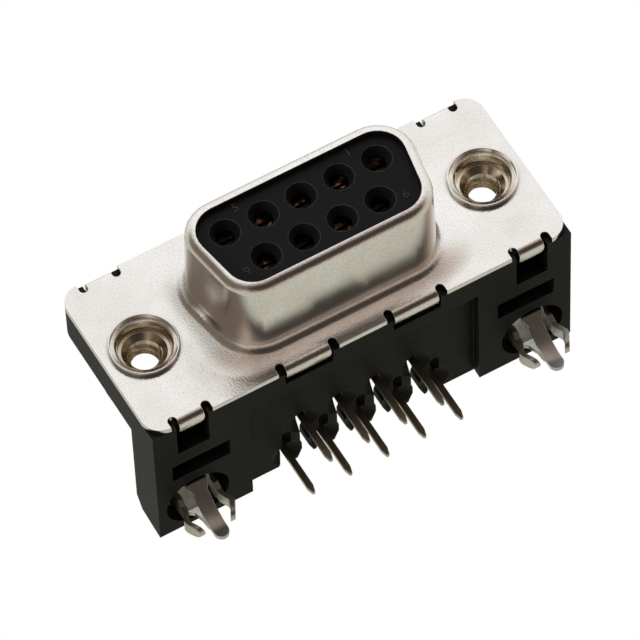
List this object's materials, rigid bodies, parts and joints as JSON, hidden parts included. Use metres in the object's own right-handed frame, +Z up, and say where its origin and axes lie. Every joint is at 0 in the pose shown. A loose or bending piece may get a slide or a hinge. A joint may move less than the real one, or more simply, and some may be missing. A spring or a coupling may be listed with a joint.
{
  "type": "d-sub connector",
  "caption": "Right-angle D-subminiature receptacle for a circuit board, with a drawn steel shell, socket contacts with bent solder tails, threaded inserts and split boardlocks.",
  "frame": {"origin": "on the board plane that the feet stand on, at the middle of the flange's front face", "axes": "+X to the right as seen from the mating side, +Y from the mating side to the rear, +Z up from the board"},
  "size_m": [0.0308, 0.0184, 0.0161],
  "materials": {
    "shell_steel": "satin",
    "black_plastic": "matte",
    "contact_copper_alloy": "satin",
    "insert_nickel": "satin",
    "boardlock_tin": "satin"
  },
  "bodies": {
    "root": {"front_shell": "shell_steel", "housing": "black_plastic", "contact_1": "contact_copper_alloy", "contact_2": "contact_copper_alloy", "contact_3": "contact_copper_alloy", "contact_4": "contact_copper_alloy", "contact_5": "contact_copper_alloy", "contact_6": "contact_copper_alloy", "contact_7": "contact_copper_alloy", "contact_8": "contact_copper_alloy", "contact_9": "contact_copper_alloy", "insert_left": "insert_nickel", "insert_right": "insert_nickel", "boardlock_left": "boardlock_tin", "boardlock_right": "boardlock_tin"}
  },
  "joints": []
}
